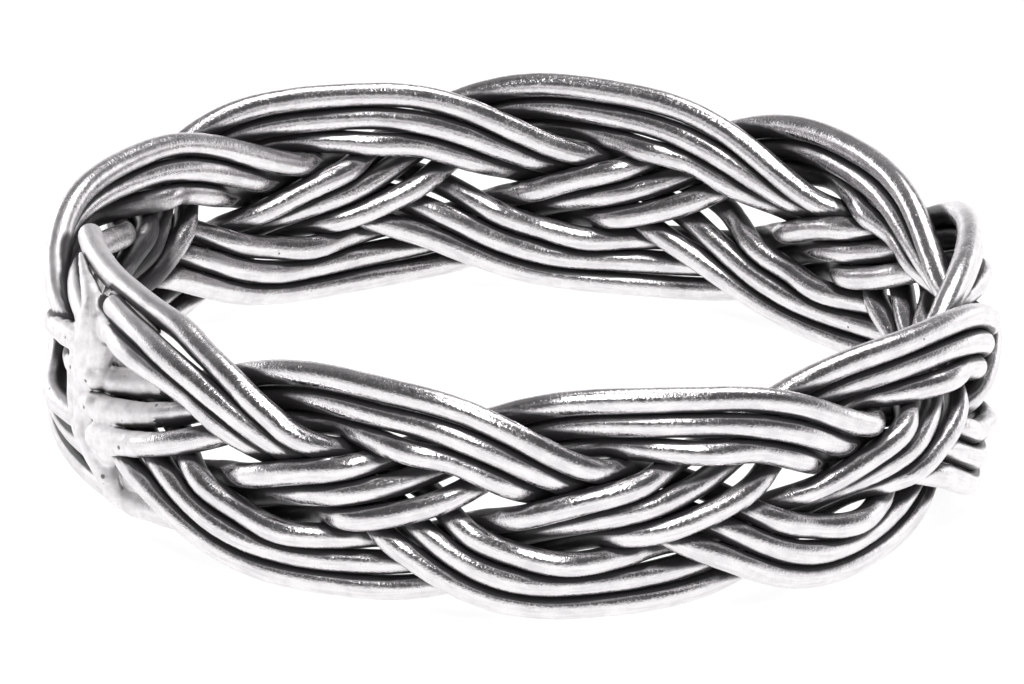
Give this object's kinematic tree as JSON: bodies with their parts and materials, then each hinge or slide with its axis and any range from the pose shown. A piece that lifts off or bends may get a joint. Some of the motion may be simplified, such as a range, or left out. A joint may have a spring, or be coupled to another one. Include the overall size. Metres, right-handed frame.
{
  "type": "braided band ring",
  "caption": "Finger ring woven as a flat braid of oxidised silver wires, soldered end to end, with an open see-through weave.",
  "frame": {"origin": "on the ring's axis, at the height of the surface that it lies on", "axes": "+Z along the ring's axis, straight up as the ring lies on its side; the viewer stands towards -Y, and the soldered seam is at the left, a little to the front"},
  "size_m": [0.0208, 0.0208, 0.005],
  "materials": {
    "wire": "polished silver with dark oxidised grooves, fine scratches and pits",
    "solder": "matt whitish silver solder, lumpy and pitted"
  },
  "bodies": {
    "root": {"strand_1": "wire", "strand_2": "wire", "strand_3": "wire", "strand_4": "wire", "solder_seam": "solder"}
  },
  "joints": []
}
